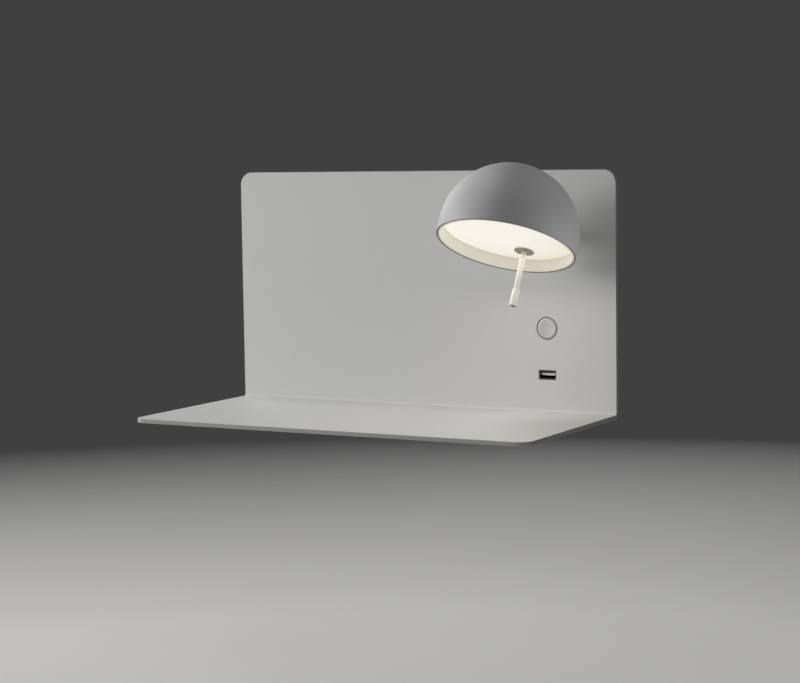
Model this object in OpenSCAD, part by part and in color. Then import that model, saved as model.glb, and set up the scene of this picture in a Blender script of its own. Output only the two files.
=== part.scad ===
// Wall lamp with a shelf: one bent sheet with a reading head, a push button and a charging socket.
// Origin: centre of the wall bracket's back face. +X right, +Y into the wall, +Z up. Millimetres.

/* [Shelf plate] */
// Width of the bent sheet
plate_w = 320; // [300:5:400]
// Overall height, from the underside of the shelf to the top edge
plate_h = 180.5; // [176:0.5:230]
// Overall depth, from the plate's back face to the shelf's front edge
shelf_d = 155; // [120:1:220]
// Thickness of the sheet
sheet_t = 3; // [2.5:0.1:4]
// Corner radius of the sheet
corner_r = 10; // [4:1:20]
// Inner radius of the bend
bend_r = 2; // [1:0.5:6]
// Distance of the head, button and socket from the plate's right edge
column_edge = 55; // [52:1:64]

/* [Heights above the shelf] */
// Centre of the wall mount
mount_h = 82; // [80:1:90]
// Axis of the stem
stem_h = 134; // [130:1:136]
// Centre of the push button
button_h = 61.5; // [56:0.5:66]
// Centre of the charging socket
usb_h = 27; // [25:0.5:30]

/* [Back box] */
// Gap between the plate and the wall
standoff = 25; // [24:1:40]
// How far the box behind the plate stays inside its side edges
box_inset = 30; // [15:1:30]
// Height of the box
box_h = 140; // [138:1:150]
// Corner radius of the box
box_r = 8; // [4:1:12]
// Sheet of the box
box_t = 1.2; // [0.8:0.1:1.5]
// Distance of the welded studs from the box's sides
stud_edge = 10; // [9:0.5:11]
// Distance of the welded studs from the middle, up and down
stud_z = 34; // [32:1:35]

/* [Wall bracket] */
// Width of the bracket
bracket_w = 170; // [160:1:175]
// Sheet of the bracket
bracket_t = 2; // [1.5:0.1:2.5]
// Depth of the bracket's flanges
flange_d = 14; // [12:0.5:16]
// Sideways spacing of the four wall screws
wall_pitch_x = 130; // [120:1:136]
// Vertical spacing of the four wall screws
wall_pitch_z = 90; // [80:1:100]
// Diameter of the four wall screw holes
wall_hole_d = 5; // [4:0.5:6]
// Spacing of the two slots that fit a flush wiring box
slot_pitch = 60; // [56:1:64]
// Length of those slots
slot_len = 12; // [8:1:16]
// Width of those slots
slot_w = 4.6; // [4:0.1:5.5]
// Distance of the locking screws from the middle
lock_x = 55; // [40:1:70]
// Bore of the cable bush
cable_d = 8; // [6:0.5:10]

/* [Stem and swivel] */
// Diameter of the stem
stem_d = 11; // [10.5:0.1:11.6]
// Length of the stem in front of the plate, with its collar
stem_len = 14.2; // [14:0.2:18]
// Diameter of the stem's threaded end
thread_d = 10; // [9:0.1:10.4]
// Bore of the stem
stem_bore = 5.2; // [4:0.1:5.6]
// Diameter of the collar on the plate
collar_d = 22; // [18:1:26]
// Thickness of the collar
collar_t = 3; // [2:0.5:4]
// Diameter of the spigot on which the head turns
spigot_d = 7.2; // [6.6:0.1:7.4]
// Diameter of the swivel hub
hub_d = 12.4; // [12:0.1:12.8]
// Length of the hub's bearing on the spigot
bearing_len = 6; // [5:0.5:8]
// Diameter of the tilt pin
pin_d = 4; // [3:0.1:4.2]

/* [Reading head] */
// Tilt of the head at rest: 0 shines straight down
rest_tilt = 25; // [5:1:60]
// Swivel of the head at rest, clockwise as seen from the front
rest_swivel = 1.4; // [-20:0.1:20]
// Lowest tilt the slot in the shade allows
tilt_min = 0; // [0:1:4]
// Highest tilt the slot in the shade allows
tilt_max = 65; // [61:1:70]
// Outer radius of the shade
shade_r = 50; // [49:0.5:56]
// Height of the straight skirt under the hemisphere
skirt_h = 10; // [8:0.5:12]
// Wall of the shade
shade_t = 1.5; // [1:0.1:2]
// Depth of the diffuser inside the rim
recess = 9.1; // [6:0.1:10]
// Visible radius of the diffuser
diffuser_r = 46.8; // [46:0.1:47]
// Thickness of the diffuser
diffuser_t = 2; // [1.5:0.1:2.4]
// Distance of the handle and pivot from the head's axis
axis_off = 29.7; // [27:0.1:31]
// Height of the pivot above the diffuser's face
pivot_rise = 15; // [15:0.1:17]

/* [Handle] */
// Length of the handle below the diffuser
handle_len = 42.5; // [35:0.5:60]
// Diameter of the rod
rod_d = 4.2; // [3.2:0.1:4.4]
// Diameter of the grip at its end
grip_d = 5.5; // [5:0.1:7]
// Length of the grip
grip_len = 12.5; // [11:0.5:20]
// Diameter of the cap where the rod leaves the diffuser
cap_d = 15; // [12:0.5:18]
// Opening of the cap round the rod
cap_hole_d = 6; // [5:0.1:7]

/* [Push button] */
// Hole of the button in the plate
button_hole_d = 16.8; // [16.8:0.1:17.4]
// Diameter of the button
button_d = 15.8; // [15:0.1:16]
// How far the button stands out of the plate
button_proud = 0.3; // [0:0.1:1]
// Travel of the button
button_travel = 1.5; // [0.5:0.1:1.6]

/* [Charging socket] */
// Width of the socket's cut-out in the plate
usb_cut_w = 14; // [14:0.1:15]
// Height of the cut-out
usb_cut_h = 7.1; // [7:0.1:8]
// Width of the metal shell
usb_w = 13.2; // [13:0.1:13.5]
// Height of the metal shell
usb_t = 5.9; // [5.7:0.1:6.2]
// How far the shell's mouth lies behind the plate's face
usb_inset = 0.8; // [0:0.1:1.5]

/* [Electrics] */
// Length of the LED driver's case
driver_w = 90; // [80:1:94]
// Height of the driver's case
driver_h = 40; // [34:1:42]
// Depth of the driver's case
driver_d = 18; // [14:0.5:19]
// Width of the charger's circuit board
board_w = 63; // [62:0.5:66]
// Height of the charger's circuit board
board_h = 20; // [18:0.5:21]
// Radius of the ring of light-emitting diodes near the rim
led_ring_r = 36; // [34:0.5:38]
// Number of diodes in that ring
led_count = 16; // [8:1:20]

/* [Hidden] */
$fn = 96;

// Clearances: a running fit, a screw in its thread, a screw in a plain hole, a loose seat
run = 0.06;
thread_play = 0.05;
hole_play = 0.15;
seat = 0.1;
past = 0.2; // how far a threaded end stands out of its nut
over = 1; // how far a cutting shape reaches past what it cuts

// Places along X
column_x = plate_w / 2 - column_edge;
box_w = plate_w - 2 * box_inset;
stud_x = box_w / 2 - stud_edge;

// Faces along Y, from the wall at 0 out to the room
plate_back = -standoff;
plate_front = plate_back - sheet_t;
shelf_front = plate_back - shelf_d;
box_floor = plate_back + box_t;
box_rim = -0.5;

// Levels along Z
shelf_top = -mount_h;
shelf_under = shelf_top - sheet_t;
plate_top = shelf_under + plate_h;
stem_z = shelf_top + stem_h;
button_z = shelf_top + button_h;
usb_z = shelf_top + usb_h;

// Bend of the sheet
bend_out = bend_r + sheet_t;
bend_y = plate_front - bend_r;
bend_z = shelf_top + bend_r;

// Studs and their nuts
stud_r = 2;
stud_len = 6;
nut_af = 7;
nut_h = 3.2;

// Wall bracket, with the bush of its cable hole
bracket_play = 0.3;
bracket_h = box_h - 2 * box_t - 2 * bracket_play;
bracket_bend = 1;
flange_r = 4;
lock_y = -8;
lock_screw_len = 8;
bush_neck_r = 8.8;
bush_flange_r = 11;
bush_flange_t = 3;
bush_edge = 1;

// Screws: M4 for the lock and earth, M3 for the driver, boards and shade, M2.5 for the tilt bracket
m4_r = 2;
m4_head_r = 3.9;
m4_head_h = 2.4;
m3_r = 1.5;
m3_head_r = 2.5;
m3_head_h = 1.9;
m25_r = 1.25;
m25_head_r = 2.2;
m25_head_h = 1.6;
socket_part = 0.72; // width of a hexagon socket, as a part of its shank

// Stem, in distances in front of the plate's face
thread_end = sheet_t + box_t + 9.5;
collar_edge = 1;
stem_washer_t = 1;
stem_washer_r = 9;
stem_nut_af = 14;
stem_nut_h = 4;
spigot_wall = 1.2;
swivel_washer_t = 0.5;
swivel_washer_r = stem_d / 2 - past;
hub_rear = stem_len + swivel_washer_t + seat;
web_front = hub_rear + bearing_len;
swivel_nut_h = 2.4;
swivel_nut_r = 4.5;
nut_slot_w = 1;
nut_slot_d = 0.8;
spigot_end = web_front + seat + swivel_nut_h + past;
nut_room_r = swivel_nut_r + 0.3;
hub_front = spigot_end + 1;

// Fork of the hub and the tilt pin across it
fork_root = 6.4;
fork_gap = 8;
ear_r = 5;
boss_r = 4.6;
boss_x = 6.8;
tilt_washer_t = 0.8;
lug_in = boss_x + tilt_washer_t + seat;
lug_t = 1.5;
lug_bend = 1;
lug_out = lug_in + lug_t;
lug_r = 5;
pin_r = pin_d / 2;
pin_head_r = 3.6;
pin_head_h = 2.2;
pin_socket_d = 1.2;
pin_nut_af = 7;
pin_nut_h = 3.2;
pivot_reach = hub_front + fork_root;

// Head, in heights above the rim
face_z = recess;
pivot_z = face_z + pivot_rise;
heat_drop = 8.9;
heat_z = pivot_z - heat_drop;
heat_t = 2;
base_z = heat_z + heat_t;
led_board_t = 1.2;
led_board_r = 41.5;
led_board_z = heat_z - led_board_t;
inner_ring = 0.55; // radius of the inner ring of diodes, as a part of the outer one
chip = 3;
chip_t = 0.6;
shade_in_r = shade_r - shade_t;
heat_r = shade_in_r - 0.8;
rim_screw_r = 44.6;
rim_screw_turns = [-90, 30, 150];
rim_screw_past = 4;
rim_lug_w = 9;
rim_lug_in = 4;
rim_lug_t = 2.4;
frame_lip_z = 0.3;
frame_play = 0.2;
diffuser_seat = 0.5;
slot_half = hub_d / 2 + 1;
base_back = 10;
base_front = 5;
bracket_screw_x = 4.4;
bracket_screw_y = 7.8;
lead_r = 1.2;
lead_hole_r = lead_r + 0.7;
lead_hole_y = 7.3;

// Handle and its cap
cap_t = 1.1;
cap_edge = 0.5;
cap_past = 1.2;
cap_hub_r = 4.4;
diffuser_hole_r = cap_hub_r + seat;
rod_into_grip = 8;
rod_nut_af = 5.5;
rod_nut_h = 2;
grip_edge = 0.4;

// Push button, in depths behind the plate's face
button_r = button_d / 2;
button_edge = 1.1;
button_land = 0.5;
button_dish = 0.4;
dish_steps = 5;
button_skin = 1.6;
button_wall = 1.5;
guide_front_t = 2;
guide_bore = button_r + run;
guide_r = 10.6;
guide_flange_r = 13;
guide_flange_t = 2;
cap_lip = 0.9;
lip_t = 1.5;
lip_start = sheet_t + guide_front_t + seat;
loose = 0.3; // round the lip and the plunger
post_r = 2.3;
post_bore = post_r + 0.4;
post_end = 11;
guide_wall = 12;
guide_end = 13.2;
plunger_r = 2.2;
plunger_end = 17.5;
switch_side = 13;
switch_r = 1.5;
switch_end = 22;
tab_len = 3;
tab_w = 2.8;
tab_t = 0.5;
tab_at = 4;
spring_r = 4.6;
spring_wire_r = 0.35;
spring_turns = 6;

// Charging socket, with depths from its mouth
usb_cut_r = 0.5;
usb_r = 0.6;
usb_wall = 0.4;
usb_back_t = 1;
usb_len = 15.6;
usb_front = plate_front + usb_inset;
window_x = 3;
window_w = 2;
window_from = 4;
window_len = 4;
tongue_w = 10.8;
tongue_t = 1.7;
tongue_from = 1.2;
tongue_up = 0.55;
tongue_z = usb_z + tongue_up;
contact_x = [-3.5, -1, 1, 3.5];
contact_w = 1;
contact_t = 0.2;
contact_len = 8;

// Charger's board: it reaches a little to the right of the socket
board_t = 1.6;
board_r = 1;
board_reach = 14.5;
board_front = usb_front + usb_len;
board_x = column_x + board_reach - board_w / 2;
board_left = board_x - board_w / 2;
spacer_r = 2.8;
spacer_in_x = 4;
spacer_in_z = 3.5;
spacer_at = [[board_left + spacer_in_x, usb_z + board_h / 2 - spacer_in_z],
             [board_left + board_w - spacer_in_x, usb_z - board_h / 2 + spacer_in_z]];
board_screw_in = 5;
spacer_screw_in = 4;
core_w = 15;
core_h = 14;
core_d = 10;
core_at = [17, 0.5];
coil_w = 10;
coil_d = 1;
can_r = 4;
can_len = 10.5;
can_at = [32, 3.5];
choke_r = 3.4;
choke_len = 8;
choke_at = [37.2, -4];

// Driver, earth tag and terminal block, placed from the left side and the middle of the box
box_left = -box_w / 2;
driver_in = 68;
driver_up = 20;
driver_at = [box_left + driver_in, driver_up];
driver_r = 3;
driver_lid_t = 2;
driver_lid_in = 1.5;
driver_ear = 8;
driver_ear_t = 2.5;
driver_ear_h = 14;
driver_screw_x = driver_w / 2 + 4.5;
driver_head_r = 2.8;
driver_port_r = 2;
driver_port_z = 10;
driver_port_d = 4;
earth_in = 40;
earth_up = -42;
earth_at = [box_left + earth_in, earth_up];
tag_t = 0.8;
tag_r = 4.4;
tag_len = 15;
tag_w = 6.3;
terminal_in = 85;
terminal_up = -38;
terminal_at = [box_left + terminal_in, terminal_up];
terminal_pitch = 8.5;
terminal_h = 17;
terminal_d = 14;
terminal_body = 9.5;
terminal_slope = 1.5;
terminal_slope_h = 2;
terminal_row = 4;
chimney_r = 3.2;
screw_room_r = 2.2;
wire_room_r = 1.9;
wire_y = 4.5;
screw_y = 7.5;
clamp_r = 2.05;
clamp_len = 4;
clamp_slot = 0.6;
clamp_slot_d = 0.8;

// Leads: where a route starts, bends and lies
lead_start = 0.2;
lead_run = 14;
lead_sweep = 20;
lead_dip = 4;
lead_low_y = box_floor + 6;
lead_high_y = box_floor + 9;
driver_end = driver_at[0] + driver_w / 2;
driver_mid_y = box_floor + driver_d / 2;

// ---- Shapes used again and again ----

// A cylinder along X from x0 to x1, and one along Y from y0 to y1
module rod_x(r, x0, x1) translate([x0, 0, 0]) rotate([0, 90, 0]) cylinder(r = r, h = x1 - x0);
module rod_y(r, y0, y1) translate([0, y0, 0]) rotate([-90, 0, 0]) cylinder(r = r, h = y1 - y0);

// A section drawn in Y and Z, extruded along X about the middle
module across(w) translate([-w / 2, 0, 0]) rotate([90, 0, 90]) linear_extrude(w) children();

// A front view drawn in X and Z, extruded from depth y0 to y1
module facing(y0, y1) translate([0, y1, 0]) rotate([90, 0, 0]) linear_extrude(y1 - y0) children();

// A profile of radius and depth, turned about Y
module turned_y() rotate([-90, 0, 0]) rotate_extrude() children();

// What a rounded corner at +X, +Y loses, from the centre of its arc
module corner_waste(r) difference() {
    square(r + over);
    circle(r);
}

module rounded_rect(w, h, r) difference() {
    square([w, h], center = true);
    for (a = [0, 1], b = [0, 1])
        mirror([a, 0]) mirror([0, b]) translate([w / 2 - r, h / 2 - r]) corner_waste(r);
}

module slot_2d(length, width) {
    square([length - width, width], center = true);
    for (side = [-1, 1]) translate([side * (length - width) / 2, 0]) circle(width / 2);
}

// A hexagon nut that stands on Z = 0
module hex_nut(af, h, r) difference() {
    cylinder(d = af / cos(30), h = h, $fn = 6);
    translate([0, 0, -over]) cylinder(r = r + thread_play, h = h + 2 * over);
}

// A pan-head screw: head above Z = 0 with a hexagon socket, shank below it
module pan_screw(r, length, head_r, head_h) {
    edge = head_h / 3;
    translate([0, 0, -length]) cylinder(r = r, h = length);
    difference() {
        union() {
            cylinder(r = head_r, h = head_h - edge);
            translate([0, 0, head_h - edge]) cylinder(r1 = head_r, r2 = head_r - edge, h = edge);
        }
        translate([0, 0, head_h / 3]) cylinder(r = r * socket_part, h = head_h, $fn = 6);
    }
}

module at_studs() for (x = [-stud_x, stud_x], z = [-stud_z, stud_z]) translate([x, 0, z]) children();

module at_column(z) translate([column_x, plate_front, z]) children();

// Places the pivot of the head at the origin of its children
module at_pivot() at_column(stem_z) translate([0, -pivot_reach, 0]) rotate([0, rest_swivel, 0]) children();

// Head coordinates: origin in the middle of the rim, Z up the axis of the shade
module in_head() at_pivot() rotate([-rest_tilt, 0, 0]) translate([0, -axis_off, -pivot_z]) children();

// ---- Tubes swept along a route ----

function unit(v) = v / norm(v);
function heading(p, i) =
    i == 0 ? unit(p[1] - p[0]) :
    i == len(p) - 1 ? unit(p[i] - p[i - 1]) :
    unit(unit(p[i + 1] - p[i]) + unit(p[i] - p[i - 1]));
function carried(t, n) = unit(n - (n * t) * t);
function side_ways(p, n = [0.31, 0.17, 0.93], i = 0) =
    i == len(p) ? [] : let (m = carried(heading(p, i), n)) concat([m], side_ways(p, m, i + 1));
// Cuts each corner of a route once, and keeps its ends
function eased(p) = concat([p[0]], [
    for (i = [0 : len(p) - 2], f = [0.25, 0.75])
        if (!(i == 0 && f == 0.25) && !(i == len(p) - 2 && f == 0.75)) p[i] * (1 - f) + p[i + 1] * f
], [p[len(p) - 1]]);

module swept_tube(p, r, sides = 8) {
    n = side_ways(p);
    points = [
        for (i = [0 : len(p) - 1]) let (t = heading(p, i), m = n[i], q = cross(t, m))
            for (k = [0 : sides - 1]) p[i] + r * (cos(360 * k / sides) * m + sin(360 * k / sides) * q)
    ];
    last = (len(p) - 1) * sides;
    faces = concat(
        [[for (k = [0 : sides - 1]) k]],
        [[for (k = [0 : sides - 1]) last + sides - 1 - k]],
        [for (i = [0 : len(p) - 2], k = [0 : sides - 1]) let (a = i * sides, b = (k + 1) % sides)
            for (tri = [[a + k, a + sides + k, a + b], [a + sides + k, a + sides + b, a + b]]) tri]
    );
    polyhedron(points, faces);
}

// ---- Bent sheet ----

module sheet_section() {
    translate([plate_front, bend_z]) square([sheet_t, plate_top - bend_z]);
    translate([shelf_front, shelf_under]) square([bend_y - shelf_front, sheet_t]);
    translate([bend_y, bend_z]) intersection() {
        difference() {
            circle(bend_out);
            circle(bend_r);
        }
        translate([0, -bend_out]) square(bend_out);
    }
}

module shelf_plate() color("whitesmoke") {
    difference() {
        across(plate_w) sheet_section();
        for (side = [0, 1]) mirror([side, 0, 0]) {
            facing(plate_front - over, plate_back + over)
                translate([plate_w / 2 - corner_r, plate_top - corner_r]) corner_waste(corner_r);
            translate([plate_w / 2 - corner_r, shelf_front + corner_r, shelf_under - over])
                linear_extrude(sheet_t + 2 * over) mirror([0, 1]) corner_waste(corner_r);
        }
        at_column(stem_z) rod_y(thread_d / 2 + hole_play, -over, sheet_t + over);
        at_column(button_z) rod_y(button_hole_d / 2, -over, sheet_t + over);
        translate([column_x, 0, usb_z]) facing(plate_front - over, plate_back + over)
            rounded_rect(usb_cut_w, usb_cut_h, usb_cut_r);
    }
    at_studs() rod_y(stud_r, plate_back - sheet_t / 2, plate_back + stud_len);
}

// ---- Box behind the plate and its bracket ----

module back_box() color("gainsboro") difference() {
    facing(plate_back, box_rim) rounded_rect(box_w, box_h, box_r);
    facing(box_floor, over) rounded_rect(box_w - 2 * box_t, box_h - 2 * box_t, box_r - box_t);
    at_studs() rod_y(stud_r + hole_play, plate_back - over, box_floor + over);
    at_column(stem_z) rod_y(thread_d / 2 + hole_play, 0, sheet_t + box_t + over);
    at_column(button_z) rod_y(guide_r + hole_play, 0, sheet_t + box_t + over);
    translate([column_x, 0, usb_z]) facing(plate_back - over, box_floor + over)
        rounded_rect(usb_cut_w, usb_cut_h, usb_cut_r);
    for (x = [-lock_x, lock_x]) translate([x, lock_y, -box_h / 2 - over])
        cylinder(r = m4_r + hole_play, h = box_t + 2 * over);
    at_driver_screws() rod_y(m3_r + thread_play, -over, driver_ear_t + box_t + over);
    at_spacers() rod_y(m3_r + thread_play, plate_back - over, box_floor + over);
    translate([earth_at[0], 0, earth_at[1]]) rod_y(m4_r + thread_play, plate_back - over, box_floor + over);
}

module box_nuts() color("silver") at_studs()
    translate([0, box_floor, 0]) rotate([-90, 0, 0]) hex_nut(nut_af, nut_h, stud_r);

module bracket_section() {
    out = bracket_bend + bracket_t;
    translate([-bracket_t, -bracket_h / 2 + out]) square([bracket_t, bracket_h - 2 * out]);
    for (side = [0, 1]) mirror([0, side]) {
        translate([-flange_d, bracket_h / 2 - bracket_t]) square([flange_d - out, bracket_t]);
        translate([-out, bracket_h / 2 - out]) intersection() {
            difference() {
                circle(out);
                circle(bracket_bend);
            }
            square(out);
        }
    }
}

module wall_bracket() color("lightgray") difference() {
    across(bracket_w) bracket_section();
    for (side = [0, 1]) mirror([side, 0, 0])
        translate([bracket_w / 2 - flange_r, -flange_d + flange_r, -bracket_h / 2 - over])
            linear_extrude(bracket_h + 2 * over) mirror([0, 1]) corner_waste(flange_r);
    for (x = [-1, 1], z = [-1, 1]) translate([x * wall_pitch_x / 2, 0, z * wall_pitch_z / 2])
        rod_y(wall_hole_d / 2, -bracket_t - over, over);
    for (x = [-1, 1]) translate([x * slot_pitch / 2, 0, 0])
        facing(-bracket_t - over, over) slot_2d(slot_len, slot_w);
    rod_y(bush_neck_r + seat, -bracket_t - over, over);
    for (x = [-lock_x, lock_x]) translate([x, lock_y, -bracket_h / 2 - over])
        cylinder(r = m4_r + thread_play, h = bracket_t + 2 * over);
}

module lock_screws() color("silver") for (x = [-lock_x, lock_x])
    translate([x, lock_y, -box_h / 2]) rotate([180, 0, 0])
        pan_screw(m4_r, lock_screw_len, m4_head_r, m4_head_h);

module cable_grommet() color("dimgray") turned_y() {
    bore = cable_d / 2;
    face = -bracket_t - bush_flange_t;
    polygon([[bore, 0], [bush_neck_r, 0], [bush_neck_r, -bracket_t], [bush_flange_r, -bracket_t],
             [bush_flange_r, face + bush_edge], [bush_flange_r - bush_edge, face], [bore, face]]);
}

// ---- Supply and driver ----

module at_poles() for (pole = [-1, 0, 1])
    translate([terminal_at[0] + pole * terminal_pitch, box_floor, terminal_at[1]]) children();

// Places each child above and below the middle of a pole
module at_clamps() at_poles() for (z = [-terminal_row, terminal_row]) translate([0, 0, z]) children();

module terminal_block() color("ivory") difference() {
    union() {
        translate([terminal_at[0], box_floor, terminal_at[1]])
            across(3 * terminal_pitch + over) for (half = [0, 1]) mirror([0, half]) polygon([
                [0, 0], [0, terminal_h / 2], [terminal_body - terminal_slope, terminal_h / 2],
                [terminal_body, terminal_h / 2 - terminal_slope_h], [terminal_body, 0]]);
        at_clamps() rod_y(chimney_r, over, terminal_d);
    }
    at_poles() translate([0, wire_y, -terminal_h]) cylinder(r = wire_room_r, h = 2 * terminal_h);
    at_clamps() rod_y(screw_room_r, screw_y, terminal_d + over);
}

module terminal_screws() color("silver") at_clamps() difference() {
    rod_y(clamp_r, screw_y, screw_y + clamp_len);
    translate([-clamp_r - over, screw_y + clamp_len - clamp_slot_d, -clamp_slot / 2])
        cube([2 * clamp_r + 2 * over, clamp_slot_d + over, clamp_slot]);
}

module earth_terminal() color("goldenrod") translate([earth_at[0], box_floor, earth_at[1]]) {
    difference() {
        union() {
            rod_y(tag_r, 0, tag_t);
            translate([0, 0, -tag_w / 2]) cube([tag_len, tag_t, tag_w]);
        }
        rod_y(m4_r + thread_play, -over, tag_t + over);
    }
    translate([0, tag_t, 0]) rotate([-90, 0, 0]) pan_screw(m4_r, tag_t + box_t, m4_head_r, m4_head_h);
}

module at_driver() translate([driver_at[0], 0, driver_at[1]]) children();

module at_driver_screws() for (side = [-1, 1])
    translate([driver_at[0] + side * driver_screw_x, plate_back, driver_at[1]]) children();

module led_driver() color("white") difference() {
    lid_y = box_floor + driver_d - driver_lid_t;
    at_driver() {
        facing(box_floor, lid_y) rounded_rect(driver_w, driver_h, driver_r);
        facing(lid_y - over, lid_y + driver_lid_t)
            rounded_rect(driver_w - 2 * driver_lid_in, driver_h - 2 * driver_lid_in, driver_r - 1);
        facing(box_floor, box_floor + driver_ear_t)
            rounded_rect(driver_w + 2 * driver_ear, driver_ear_h, driver_r);
    }
    at_driver_screws() rod_y(m3_r + hole_play, 0, box_t + driver_ear_t + over);
    at_driver() for (side = [-1, 1], z = [-driver_port_z, driver_port_z])
        translate([side * driver_w / 2, driver_mid_y, z]) rod_x(driver_port_r, -driver_port_d, driver_port_d);
}

module driver_screws() color("silver") at_driver_screws() translate([0, box_t + driver_ear_t, 0])
    rotate([-90, 0, 0]) pan_screw(m3_r, box_t + driver_ear_t, driver_head_r, m3_head_h);

// ---- Charging socket and its board ----

module at_spacers() for (at = spacer_at) translate([at[0], 0, at[1]]) children();

module usb_board() color("seagreen") difference() {
    translate([board_x, 0, usb_z]) facing(board_front, board_front + board_t)
        rounded_rect(board_w, board_h, board_r);
    at_spacers() rod_y(m3_r + hole_play, board_front - over, board_front + board_t + over);
}

// A transformer core with its coil, a can and a small choke on the board's front
module supply_parts() color("goldenrod") translate([board_left, board_front, usb_z]) {
    translate([core_at[0], -core_d, core_at[1] - core_h / 2]) {
        translate([-core_w / 2, 0, 0]) cube([core_w, core_d, core_h]);
        translate([-coil_w / 2, -coil_d, 0]) cube([coil_w, coil_d, core_h]);
    }
    translate([can_at[0], 0, can_at[1]]) rod_y(can_r, -can_len, 0);
    translate([choke_at[0], 0, choke_at[1]]) rod_y(choke_r, -choke_len, 0);
}

module board_spacers() color("gainsboro") at_spacers() difference() {
    rod_y(spacer_r, box_floor, board_front);
    rod_y(m3_r + thread_play, box_floor - over, board_front + over);
}

// Each spacer has a screw through the board and a short one from the plate's side
module board_screws() color("silver") at_spacers() {
    translate([0, board_front + board_t, 0]) rotate([-90, 0, 0])
        pan_screw(m3_r, board_t + board_screw_in, m3_head_r, m3_head_h);
    rod_y(m3_r, plate_back + seat, box_floor + spacer_screw_in);
}

module usb_shell() color("silver") translate([column_x, 0, usb_z]) difference() {
    facing(usb_front, board_front) rounded_rect(usb_w, usb_t, usb_r);
    facing(usb_front - over, board_front - usb_back_t)
        rounded_rect(usb_w - 2 * usb_wall, usb_t - 2 * usb_wall, usb_r - usb_wall);
    // spring windows in the wide walls
    for (x = [-window_x, window_x]) translate([x - window_w / 2, usb_front + window_from, -usb_t])
        cube([window_w, window_len, 2 * usb_t]);
}

module usb_tongue() color("lightgray") translate([column_x, usb_front + tongue_from, tongue_z])
    translate([-tongue_w / 2, 0, -tongue_t / 2])
        cube([tongue_w, usb_len - usb_back_t - tongue_from, tongue_t]);

module usb_contacts() color("gold") for (x = contact_x)
    translate([column_x + x - contact_w / 2, usb_front + tongue_from + contact_w, tongue_z - tongue_t / 2])
        translate([0, 0, -contact_t]) cube([contact_w, contact_len, contact_t]);

// ---- Push button ----

module button_cap() color("whitesmoke") at_column(button_z) turned_y() {
    front = -button_proud;
    inner = button_r - button_wall;
    // slightly hollow face inside a narrow rim
    face_r = button_r - button_edge - button_land;
    hollow = [for (i = [0:dish_steps]) let (part = i / dish_steps)
        [face_r * part, front + button_dish * (1 - pow(part, 2))]];
    polygon([each hollow, [button_r - button_edge, front], [button_r, front + button_edge],
             [button_r, lip_start], [button_r + cap_lip, lip_start], [button_r + cap_lip, lip_start + lip_t],
             [inner, lip_start + lip_t], [inner, front + button_skin], [post_r, front + button_skin],
             [post_r, post_end], [0, post_end]]);
}

module button_guide() color("black") at_column(button_z) turned_y() {
    wide = button_r + cap_lip + loose;
    flange = sheet_t + box_t;
    polygon([[guide_bore, sheet_t], [guide_r, sheet_t], [guide_r, flange], [guide_flange_r, flange],
             [guide_flange_r, flange + guide_flange_t], [guide_r, flange + guide_flange_t],
             [guide_r, guide_end], [post_bore, guide_end], [post_bore, guide_wall],
             [wide, guide_wall], [wide, sheet_t + guide_front_t], [guide_bore, sheet_t + guide_front_t]]);
}

module button_spring() color("silver") at_column(button_z) {
    first = button_skin - button_proud + spring_wire_r + seat;
    last = guide_wall - spring_wire_r - seat;
    steps = 14 * spring_turns;
    swept_tube([
        for (i = [0 : steps]) let (turn = 360 * spring_turns * i / steps)
            [spring_r * cos(turn), first + (last - first) * i / steps, spring_r * sin(turn)]
    ], spring_wire_r, 6);
}

module switch_plunger() color("red") at_column(button_z) rod_y(plunger_r, post_end, plunger_end);

module switch_body() color("dimgray") at_column(button_z) {
    difference() {
        facing(guide_end, switch_end) rounded_rect(switch_side, switch_side, switch_r);
        rod_y(plunger_r + loose, guide_end - over, plunger_end + button_travel + loose);
    }
    for (z = [-tab_at, tab_at]) translate([-tab_w / 2, switch_end - over, z - tab_t / 2])
        cube([tab_w, tab_len + over, tab_t]);
}

// ---- Stem ----

module stem_collar() color("whitesmoke") at_column(stem_z) turned_y()
    polygon([[thread_d / 2 + seat, 0], [collar_d / 2, 0], [collar_d / 2, -collar_t + collar_edge],
             [collar_d / 2 - collar_edge, -collar_t], [thread_d / 2 + seat, -collar_t]]);

module stem_tube() color("whitesmoke") at_column(stem_z) turned_y() {
    bore = stem_bore / 2;
    neck = min(bore, spigot_d / 2 - spigot_wall);
    polygon([[bore, thread_end], [thread_d / 2, thread_end], [thread_d / 2, -collar_t],
             [stem_d / 2, -collar_t], [stem_d / 2, -stem_len], [spigot_d / 2, -stem_len],
             [spigot_d / 2, -spigot_end], [neck, -spigot_end], [neck, -stem_len], [bore, -stem_len]]);
}

module stem_washer() color("silver") at_column(stem_z) difference() {
    rod_y(stem_washer_r, sheet_t + box_t, sheet_t + box_t + stem_washer_t);
    rod_y(thread_d / 2 + seat, 0, sheet_t + box_t + stem_washer_t + over);
}

module stem_nut() color("silver") at_column(stem_z) translate([0, sheet_t + box_t + stem_washer_t, 0])
    rotate([-90, 0, 0]) hex_nut(stem_nut_af, stem_nut_h, thread_d / 2);

module swivel_washer() color("black") at_column(stem_z) difference() {
    rod_y(swivel_washer_r, -stem_len - swivel_washer_t, -stem_len);
    rod_y(spigot_d / 2 + seat, -stem_len - swivel_washer_t - over, -stem_len + over);
}

module swivel_nut() color("silver") at_column(stem_z) difference() {
    face = -web_front - seat - swivel_nut_h;
    rod_y(swivel_nut_r, face, face + swivel_nut_h);
    rod_y(spigot_d / 2 + thread_play, face - over, -web_front);
    for (turn = [0, 90]) rotate([0, turn, 0])
        translate([-swivel_nut_r - over, face - over, -nut_slot_w / 2])
            cube([2 * swivel_nut_r + 2 * over, over + nut_slot_d, nut_slot_w]);
}

// ---- Fork that turns on the stem ----

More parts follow.
